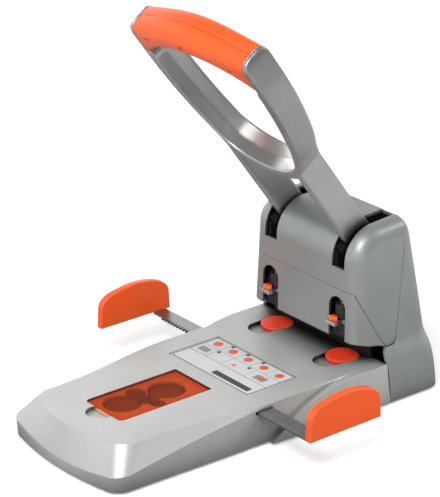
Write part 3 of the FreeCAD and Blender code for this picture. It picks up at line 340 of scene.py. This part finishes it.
for material, names in FINISH.items():
    for name in names:
        mesh = nodes[name].data
        mesh.materials.clear()
        mesh.materials.append(material)


# ---------------------------------------------------------------- mesh helpers
def make_piece(name, verts, faces, material, body, smooth_angle=35):
    """Mesh object from points in millimetres, riding on a body."""
    mesh = bpy.data.meshes.new(name)
    mesh.from_pydata([tuple(c * MM for c in v) for v in verts], [], faces)
    tidy = bmesh.new()
    tidy.from_mesh(mesh)
    bmesh.ops.remove_doubles(tidy, verts=tidy.verts, dist=1e-6)
    bmesh.ops.recalc_face_normals(tidy, faces=tidy.faces)
    tidy.to_mesh(mesh)
    tidy.free()
    mesh.shade_smooth()
    mesh.set_sharp_from_angle(angle=math.radians(smooth_angle))
    mesh.materials.append(material)
    obj = bpy.data.objects.new(name, mesh)
    bpy.context.scene.collection.objects.link(obj)
    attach(obj, body)
    return obj


def sweep(rings, closed_ends=True):
    """Skin over a row of equal rings; returns (verts, faces)."""
    count = len(rings[0])
    verts = [v for ring in rings for v in ring]
    faces = []
    for i in range(len(rings) - 1):
        for j in range(count):
            k = (j + 1) % count
            faces.append((i * count + j, i * count + k, (i + 1) * count + k, (i + 1) * count + j))
    if closed_ends:
        faces.append(tuple(range(count)))
        faces.append(tuple(len(verts) - count + j for j in range(count)))
    return verts, faces


def joined(parts):
    """Several (verts, faces) lists as one."""
    verts, faces = [], []
    for part_verts, part_faces in parts:
        shift = len(verts)
        verts += part_verts
        faces += [tuple(i + shift for i in face) for face in part_faces]
    return verts, faces


def interpolate(table, x):
    """Value of a (x, y) table between its rows."""
    if x <= table[0][0]:
        return table[0][1]
    for (x0, y0), (x1, y1) in zip(table, table[1:]):
        if x <= x1:
            return y0 + (y1 - y0) * (x - x0) / (x1 - x0)
    return table[-1][1]


def round_corners(outline, radius, steps=4):
    """Closed outline with each corner replaced by an arc; radius is a number or one per corner."""
    count = len(outline)
    made = []
    for i, corner in enumerate(outline):
        r = radius[i] if isinstance(radius, (list, tuple)) else radius
        if r <= 0:
            made.append(tuple(corner))
            continue
        here = Vector(corner)
        arrive = (here - Vector(outline[i - 1])).normalized()
        leave = (Vector(outline[(i + 1) % count]) - here).normalized()
        half_turn = arrive.angle(leave) / 2
        reach = r * math.tan(half_turn)
        centre = here + (leave - arrive).normalized() * (r / math.cos(half_turn))
        first, last = here - arrive * reach, here + leave * reach
        for k in range(steps + 1):
            point = first.lerp(last, k / steps) - centre
            made.append(tuple(centre + point.normalized() * r))
    return made


# ---------------------------------------------------------------- handle
LEAN = math.radians(36.7)
_low, _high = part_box("pivot_shaft")
PIVOT = (_low + _high) / 2 / MM


def lever(x, depth, length):
    """Point given across, through and along the handle, in millimetres."""
    return (x, PIVOT.y + depth * math.cos(LEAN) - length * math.sin(LEAN),
            PIVOT.z + depth * math.sin(LEAN) + length * math.cos(LEAN))


# The grip's half width, its level in the middle and at its ends, and its depth.
GRIP_HALF, GRIP_MID, GRIP_END, GRIP_AXIS = 64.2, 236.2, 221.2, 1.6
# Half the size of the grip's section in the middle, and how much it changes towards the ends.
GRIP_DEEP, GRIP_THINS, GRIP_TALL, GRIP_SWELLS = 15, 2.1, 13, 2.7
SCREW_STATIONS = (-49.5, 0, 49.5)
# Rounded ends of the casting over the grip.
CAP_DEEP, CAP_TALL, CAP_POWER = 13.2, 16, 0.5
# Legs of the casting: faces towards and away from the middle, half depth, and the hub on the pivot.
LEG_INNER, LEG_OUTER, LEG_DEPTH, HUB_RADIUS = 36.1, 42.4, 12.9, 12.7
# Toe of a leg: its centre seen from the pivot as (depth, length), its radius and half its arm's width.
TOE_CENTRE, TOE_RADIUS, TOE_ARM = (-16.35, 16.18), 4.5, 4.4
# Depth of the valley along the loop's inside, below the grip and behind it, and the outer edges' radius.
VALLEY, GRIP_VALLEY, OUTER_ROUND = 2.6, 0.3, 2.2
# Depth of the loop's front and rear rims and its inner and outer outline, each by level along the handle.
FRONT_DEPTH = [(103, -12.8), (130, -11.8), (200, -11.4), (224, -11.4)]
REAR_DEPTH = [(103, 12.8), (130, 13.5), (200, 14.4), (224, 14.6)]
LOOP_INNER = [(0, 97.7), (9, 98.3), (17.5, 100.1), (25.5, 102.9), (32, 106.1), (37.5, 110), (41, 113.6),
              (43.8, 118.3), (46.3, 124.2), (49.2, 132), (52.2, 141), (55.2, 152.5), (58, 166), (60, 180),
              (61.2, 194), (61.8, 204), (63.6, 208), (64, 212), (64, 219)]
LOOP_OUTER = [(0, 89.7), (9.2, 90.1), (18, 91.4), (26.3, 93.4), (33.2, 95.6), (40, 99.5), (42.9, 105.5),
              (46.5, 115.2), (50.3, 122.4), (53.9, 130.2), (57.4, 139.2), (61, 151), (64.4, 165),
              (67, 179.5), (68.4, 194), (68.9, 204), (69, 208), (69, 212), (69, 219)]


def eased(points, steps=3):
    """Catmull-Rom curve through a row of points."""
    made = []
    for i in range(len(points) - 1):
        p0, p1 = Vector(points[max(i - 1, 0)]), Vector(points[i])
        p2, p3 = Vector(points[i + 1]), Vector(points[min(i + 2, len(points) - 1)])
        if i == 0:
            p0 = Vector((-p2.x, p2.y)) if abs(p1.x) < 1e-6 else p1
        for k in range(steps):
            t = k / steps
            made.append(0.5 * (2 * p1 + (p2 - p0) * t + (2 * p0 - 5 * p1 + 4 * p2 - p3) * t * t
                               + (3 * p1 - p0 - 3 * p2 + p3) * t ** 3))
    return made + [Vector(points[-1])]


def loop_section(inner, outer, front, rear, valley, outer_round):
    """Ring across the loop: flat outside, shallow valley inside, rounded rims."""
    a, b = Vector(inner), Vector(outer)
    thick = (b - a).length
    outer_round = min(outer_round, thick * 0.6, (rear - front) * 0.45)
    rim = min(1.5, thick * 0.3, (rear - front) * 0.2)
    middle = (front + rear) / 2
    flat = [(0, front), (valley, middle), (0, rear), (thick, rear), (thick, front)]
    ring = round_corners(flat, [rim, 0.35, rim, outer_round, outer_round], 4)
    axis = (b - a).normalized()
    return [lever(a.x + axis.x * t, depth, a.y + axis.y * t) for t, depth in ring]


def handle_rings():
    """Rings from the middle of the U up the right arm to its cap, mirrored for the left arm."""
    right = []
    for inner, outer in zip(eased(LOOP_INNER), eased(LOOP_OUTER)):
        level = max(inner.y, outer.y)
        depth = interpolate(FRONT_DEPTH, level), interpolate(REAR_DEPTH, level)
        valley = VALLEY if level < 200 else GRIP_VALLEY
        right.append((inner, outer) + depth + (valley, OUTER_ROUND))
    (inner_x, arm_top), (outer_x, _) = LOOP_INNER[-1], LOOP_OUTER[-1]
    for degrees in (12, 22, 32, 42, 52, 60, 67, 73, 78, 82, 85.5, 88):
        angle = math.radians(degrees)
        level = GRIP_END + CAP_TALL * math.sin(angle) ** CAP_POWER
        half = CAP_DEEP * math.cos(angle) ** CAP_POWER
        shrink = 2.6 * (1 - math.cos(angle) ** CAP_POWER)
        right.append((Vector((inner_x, level)), Vector((outer_x - shrink, level)),
                      GRIP_AXIS - half, GRIP_AXIS + half, GRIP_VALLEY, OUTER_ROUND))
    right = [row for row in right if row[0].y < arm_top or row[0].y > GRIP_END]
    right.sort(key=lambda row: row[1].x if row[1].y < 150 else 100 + row[1].y)
    flip = [(Vector((-a.x, a.y)), Vector((-b.x, b.y))) + tuple(rest) for a, b, *rest in right[:0:-1]]
    return [loop_section(*row) for row in flip + right]


def prism(outline, x0, x1, chamfer=0.8):
    """Side outline (depth, length) made solid between two stations across the handle."""
    middle = Vector((sum(p[0] for p in outline), sum(p[1] for p in outline))) / len(outline)

    def ring(x, shrink):
        points = []
        for p in outline:
            v = Vector(p)
            v = v - (v - middle).normalized() * shrink
            points.append(lever(x, v.x, v.y))
        return points
    step = chamfer if x1 > x0 else -chamfer
    return sweep([ring(x0, chamfer), ring(x0 + step, 0), ring(x1 - step, 0), ring(x1, chamfer)])


def disc_outline(centre, radius, count=40):
    return [(centre[0] + radius * math.cos(2 * math.pi * k / count),
             centre[1] + radius * math.sin(2 * math.pi * k / count)) for k in range(count)]


def make_casting():
    """Cast loop and legs, melted together so that the legs flow into the loop."""
    parts = [sweep(handle_rings())]
    for side in (-1, 1):
        rings = []
        flat = [(LEG_INNER, -LEG_DEPTH), (LEG_OUTER, -LEG_DEPTH),
                (LEG_OUTER, LEG_DEPTH), (LEG_INNER, LEG_DEPTH)]
        ring = round_corners(flat, 1.8, 4)
        for level in (0, 20, 45, 70, 88, 100, 106):
            rings.append([lever(side * x, depth, level) for x, depth in ring])
        parts.append(sweep(rings))
        parts.append(prism(disc_outline((0, 0), HUB_RADIUS), side * 35, side * 46.4))
    verts, faces = joined(parts)
    casting = make_piece("handle_casting", verts, faces, CAST, "handle", 180)
    melt = casting.modifiers.new("melt", "REMESH")
    melt.mode = "VOXEL"
    melt.voxel_size = 0.75 * MM
    melt.use_smooth_shade = True
    smooth = casting.modifiers.new("smooth", "SMOOTH")
    smooth.factor = 0.5
    smooth.iterations = 5
    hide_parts("handle_lever")

    # The toes get the near-black material as painted shade in the slot.
    toe = Vector(TOE_CENTRE)
    across = Vector((-toe.y, toe.x)).normalized() * TOE_ARM
    arm = [across, toe + across, toe - across, -across]
    toes = []
    for side in (-1, 1):
        for outline in (arm, disc_outline(toe, TOE_RADIUS, 28)):
            toes.append(prism(outline, side * 36.4, side * 43.2, 0.5))
    verts, faces = joined(toes)
    make_piece("lever_toes", verts, faces, TOE_SLOT_SHADE, "handle")


def grip_level(x):
    return GRIP_MID + (GRIP_END - GRIP_MID) * (x / GRIP_HALF) ** 2


def grip_section(x, front_side, gap, count=32):
    """Half ring of the grip at a station across the handle, closed on the parting plane."""
    share = abs(x) / GRIP_HALF
    power = 2 / (2.2 + 2 * share ** 4)
    deep = GRIP_DEEP - GRIP_THINS * share ** 2
    tall = GRIP_TALL + GRIP_SWELLS * share ** 4
    sign = -1 if front_side else 1
    ring = []
    for k in range(count + 1):
        angle = math.pi * k / count
        across, up = (math.copysign(abs(v) ** power, v) for v in (math.sin(angle), math.cos(angle)))
        ring.append((GRIP_AXIS + sign * max(across * deep, gap), grip_level(x) + tall * up))
    lip = 0.45
    ring[0] = (GRIP_AXIS + sign * gap, ring[0][1] - lip)
    ring[-1] = (GRIP_AXIS + sign * gap, ring[-1][1] + lip)
    return [lever(x, depth, level) for depth, level in ring]


def drill_holes(cover, stations, radius, depths):
    """Bore round holes through a cover of the grip and keep the result as plain mesh."""
    bores = []
    for x in stations:
        outline = disc_outline((x, grip_level(x)), radius, 24)
        bores.append(sweep([[lever(u, depth, v) for u, v in outline] for depth in depths]))
    verts, faces = joined(bores)
    drill = make_piece("drill", verts, faces, BLACK, "handle")
    holes = cover.modifiers.new("screw_holes", "BOOLEAN")
    holes.operation = "DIFFERENCE"
    holes.solver = "EXACT"
    holes.object = drill
    bpy.context.view_layer.update()
    pierced = bpy.data.meshes.new_from_object(cover.evaluated_get(bpy.context.evaluated_depsgraph_get()))
    cover.modifiers.clear()
    cover.data = pierced
    bpy.data.objects.remove(drill)
    pierced.shade_smooth()
    pierced.set_sharp_from_angle(angle=math.radians(50))


def make_grip():
    """Two covers that close on the parting plane, the front one with screw holes."""
    stations = [GRIP_HALF * math.sin(math.pi / 2 * k / 34) for k in range(-34, 35)]
    for name, front_side, node in (("grip_cover_front", True, "grip_front_shell"),
                                   ("grip_cover_rear", False, "grip_rear_shell")):
        verts, faces = sweep([grip_section(x, front_side, 0.14) for x in stations])
        cover = make_piece(name, verts, faces, GRIP, "handle", 50)
        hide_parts(node)
        if front_side:
            drill_holes(cover, SCREW_STATIONS, 2.5, (-24, -10.6))


# ---------------------------------------------------------------- return springs
def make_springs(wire=0.9, turns=9, steps=24):
    """Coil springs with closed ends; wire is half its thickness."""
    for side in ("left", "right"):
        low, high = (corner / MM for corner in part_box("return_spring_" + side))
        middle = (low + high) / 2
        radius = (high.x - low.x) / 2 - wire
        length = high.z - low.z - 2 * wire
        rings = []
        for k in range(turns * steps + 1):
            turn = k / steps
            flat_turns = min(turn, 1.0) + max(0.0, turn - turns + 1)
            open_share = min(max(turn - 1, 0), turns - 2) / (turns - 2)
            rise = 2 * wire * flat_turns + (length - 4 * wire) * open_share
            angle = 2 * math.pi * turn
            outward = Vector((math.cos(angle), math.sin(angle), 0))
            centre = Vector((middle.x, middle.y, low.z + wire + rise)) + outward * radius
            ring = []
            for j in range(10):
                around = 2 * math.pi * j / 10
                point = centre + outward * wire * math.cos(around)
                ring.append((point.x, point.y, point.z + wire * math.sin(around)))
            rings.append(ring)
        verts, faces = sweep(rings)
        coil = make_piece("coil_spring_" + side, verts, faces, PUNCH, "frame")
        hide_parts("return_spring_" + side)
        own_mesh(coil)


# ---------------------------------------------------------------- print on the deck
def flat_shape(outline, z, thick=0.12):
    """Thin raised print with a given (x, y) outline."""
    return sweep([[(x, y, level) for x, y in outline] for level in (z, z + thick)])


def frame_line(x0, x1, y0, y1, radius, width, z):
    """Rounded rectangular line."""
    outer = round_corners([(x0, y0), (x1, y0), (x1, y1), (x0, y1)], radius, 6)
    inner = round_corners([(x0 + width, y0 + width), (x1 - width, y0 + width), (x1 - width, y1 - width),
                           (x0 + width, y1 - width)], max(radius - width, 0.1), 6)
    count = len(outer)
    verts = [(x, y, level) for level in (z, z + 0.12) for ring in (outer, inner) for x, y in ring]
    faces = []
    for j in range(count):
        k = (j + 1) % count
        for a, b in ((0, count), (count, 3 * count), (3 * count, 2 * count), (2 * count, 0)):
            faces.append((a + j, a + k, b + k, b + j))
    return verts, faces


def bar(x0, x1, y0, y1, z):
    return flat_shape([(x0, y0), (x1, y0), (x1, y1), (x0, y1)], z)


def make_label():
    """Instruction label without words: line grid, disc pictures and small squares.

    Places are millimetres from the plate's edges or shares of pitch, the width of one of five columns.
    """
    low, high = (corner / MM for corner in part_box("label_plate"))
    z = high.z + 0.02
    left, right, front, rear = low.x + 1.6, high.x - 1.2, low.y + 1.6, high.y - 1.2
    row, base_row = rear - 14.5, rear - 29.5
    pitch = (right - left) / 5
    fine, inset = 0.3, 0.5
    lines = [frame_line(left, right, front, rear, 3.2, 0.55, z),
             bar(left + inset, right - inset, base_row, base_row + fine, z)]
    grid = [bar(left + inset, right - inset, row, row + fine, z)]
    rows = ((row + 0.5, rear - 0.6, (1, 2, 3, 4)),
            (base_row + 0.5, row, (1, 2, 3.5)))
    for row_front, row_rear, columns in rows:
        for k in columns:
            x = left + k * pitch
            grid.append(bar(x, x + fine, row_front, row_rear, z))
    marks = [bar(left + 46, right - 5, front + 3.2, front + 9, z)]
    for top, columns in ((rear, (1, 2, 3)), (row, (1, 3))):
        for k in columns:
            x = left + k * pitch + 1.2
            marks.append(bar(x, x + 3, top - 3.8, top - 0.9, z))
    discs = []
    for k in range(5):
        x, y = left + (k + 0.5) * pitch, rear - 7.6
        discs.append(flat_shape(disc_outline((x, y), 4.1 - 0.1 * k, 32), z))
    discs.append(flat_shape([(left + 2.35 * pitch, row - 9.5), (left + 2.65 * pitch, row - 9.5),
                             (left + 2.5 * pitch, row - 5.8)], z))
    discs.append(flat_shape(disc_outline((left + 4.2 * pitch, row - 7.4), 2.6, 28), z + 0.12))
    cards = []
    for start, end in ((0.22, 0.80), (3.85, 4.50)):
        cards.append(bar(left + start * pitch, left + end * pitch, row - 11, row - 4, z))
    corners = [(left + inset, front + inset), (right - inset, front + inset),
               (right - inset, rear - inset), (left + inset, rear - inset)]
    ground = flat_shape(round_corners(corners, 2.8, 6), z - 0.02, 0.06)
    for name, parts, material in (("label_lines", lines + marks, INK),
                                  ("label_grid", grid, GREY_INK),
                                  ("label_discs", discs, ORANGE_INK),
                                  ("label_cards", cards, GREY_INK),
                                  ("label_ground", [ground], PALE_INK)):
        verts, faces = joined(parts)
        make_piece(name, verts, faces, material, "frame")


make_casting()
make_grip()
make_springs()
make_label()


# ---------------------------------------------------------------- stage
def studio_world():
    """White surroundings near the horizon that fall to grey overhead."""
    world = bpy.data.worlds.new("studio")
    world.use_nodes = True
    tree = world.node_tree
    coords = tree.nodes.new("ShaderNodeTexCoord")
    split = tree.nodes.new("ShaderNodeSeparateXYZ")
    tree.links.new(coords.outputs["Generated"], split.inputs["Vector"])
    sky = ramp(tree, split.outputs["Z"], grey(0.98), grey(0.26), 0.40, 0.72)
    background = tree.nodes["Background"]
    tree.links.new(sky, background.inputs["Color"])
    background.inputs["Strength"].default_value = 1.0
    bpy.context.scene.world = world


def area_light(name, direction, distance, size, power):
    """Square lamp placed along a direction from the middle of the object and facing it."""
    data = bpy.data.lights.new(name, "AREA")
    data.size = size
    data.energy = power
    lamp = bpy.data.objects.new(name, data)
    lamp.location = Vector((0, 0, 0.12)) + Vector(direction).normalized() * distance
    lamp.rotation_euler = (-Vector(direction)).to_track_quat("-Z", "Y").to_euler()
    bpy.context.scene.collection.objects.link(lamp)
    return lamp


def handle_light():
    """Lamp at the left that only the handle's casting receives; it draws the highlight inside the loop."""
    lit = bpy.data.collections.new("handle_light")
    lit.objects.link(bpy.data.objects["handle_casting"])
    lamp = area_light("loop", (-0.92, 0.02, 0.38), 1.3, 0.55, 9)
    lamp.light_linking.receiver_collection = lit


def dark_screen():
    """Dark grey screen beside the object that only shows in reflections."""
    mesh = bpy.data.meshes.new("screen")
    corners = [(0.75, -0.15, 0.001), (0.75, 2.4, 0.001), (0.75, 2.4, 1.0), (0.75, -0.15, 1.0)]
    mesh.from_pydata(corners, [], [(0, 1, 2, 3)])
    material, tree, shader = new_material("screen_grey")
    tree.links.new(ramp(tree, noise(tree, place_texture(tree), 3, 2), grey(0.16), grey(0.22)),
                   shader.inputs["Base Color"])
    mesh.materials.append(material)
    screen = bpy.data.objects.new("screen", mesh)
    screen.visible_camera = False
    screen.visible_diffuse = False
    screen.visible_shadow = False
    bpy.context.scene.collection.objects.link(screen)


def make_floor():
    """Floor that looks white to the camera and reflects less light near the object."""
    bpy.ops.mesh.primitive_plane_add(size=12, location=(0, 0, -0.0002))
    floor = bpy.context.object
    floor.name = "floor"
    material, tree, shader = new_material("floor_white")
    seen = tree.nodes.new("ShaderNodeLightPath").outputs["Is Camera Ray"]
    spread = vector_math(tree, "LENGTH", place_texture(tree))
    dull = ramp(tree, spread.outputs["Value"], grey(0.30), grey(0.88), 0.25, 0.60)
    tree.links.new(mix_colour(tree, seen, dull, grey(0.92)), shader.inputs["Base Color"])
    shader.inputs["Roughness"].default_value = 0.9
    glow = tree.nodes.new("ShaderNodeMath")
    glow.operation = "MULTIPLY"
    glow.inputs[1].default_value = 0.26
    tree.links.new(seen, glow.inputs[0])
    tree.links.new(glow.outputs["Value"], shader.inputs["Emission Strength"])
    shader.inputs["Emission Color"].default_value = (1, 1, 1, 1)
    floor.data.materials.append(material)


def make_lights():
    area_light("key", (0.30, -0.58, 0.76), 1.9, 1.0, 27)
    area_light("fill", (-0.85, -0.30, 0.35), 1.9, 1.0, 1.5)
    area_light("rim", (0.55, 0.75, 0.60), 1.7, 0.8, 7)
    area_light("horizon", (-0.92, 0.37, 0.10), 1.6, 0.8, 3.5)
    handle_light()


def make_camera(azimuth=math.radians(50.97), elevation=math.radians(22.55), distance=1.708):
    """Camera that looks down from the front right."""
    target = Vector((-0.031, 0.0221, 0.1193))
    back = Vector((math.sin(azimuth) * math.cos(elevation), -math.cos(azimuth) * math.cos(elevation),
                   math.sin(elevation)))
    data = bpy.data.cameras.new("camera")
    data.lens = 157.2
    data.sensor_width = 36
    camera = bpy.data.objects.new("camera", data)
    camera.location = target + back * distance
    camera.rotation_euler = (-back).to_track_quat("-Z", "Y").to_euler()
    bpy.context.scene.collection.objects.link(camera)
    bpy.context.scene.camera = camera
    bpy.context.scene.view_settings.view_transform = "Standard"


make_floor()
dark_screen()
studio_world()
make_lights()
make_camera()
for node in nodes.values():
    node.data.shade_smooth()
    node.data.set_sharp_from_angle(angle=math.radians(32))
